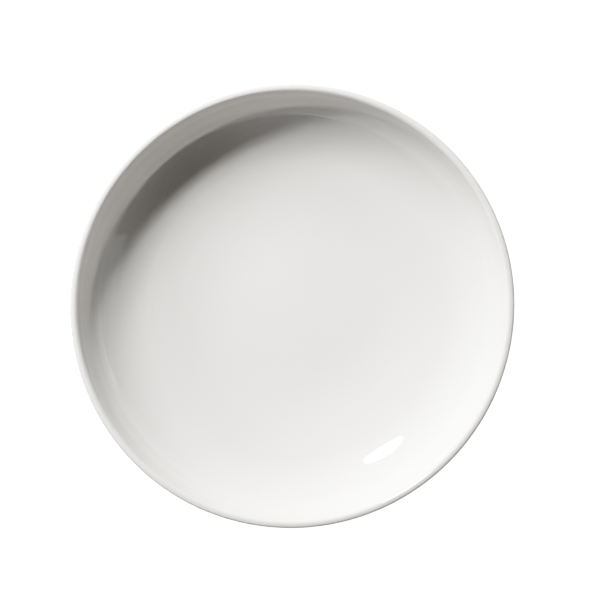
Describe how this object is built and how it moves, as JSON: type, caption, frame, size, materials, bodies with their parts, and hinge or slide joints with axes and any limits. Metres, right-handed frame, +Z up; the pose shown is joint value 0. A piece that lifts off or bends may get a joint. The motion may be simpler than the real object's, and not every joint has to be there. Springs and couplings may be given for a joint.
{
  "type": "deep plate",
  "caption": "Round rimless deep plate in glazed white porcelain, with a level well, an upswept wall, a rounded lip and a bare foot ring to stand on.",
  "frame": {"origin": "on the plate's own axis, level with the bare standing face of the foot ring", "axes": "+Z up along the plate's axis, towards the lip; X and Y lie in the standing plane and are alike, because the plate is round"},
  "size_m": [0.21, 0.21, 0.041],
  "materials": {
    "bare_clay": "matte",
    "white_glaze": "gloss"
  },
  "bodies": {
    "root": {"porcelain_body": "bare_clay", "glaze_coat": "white_glaze", "base_glaze": "white_glaze"}
  },
  "joints": []
}
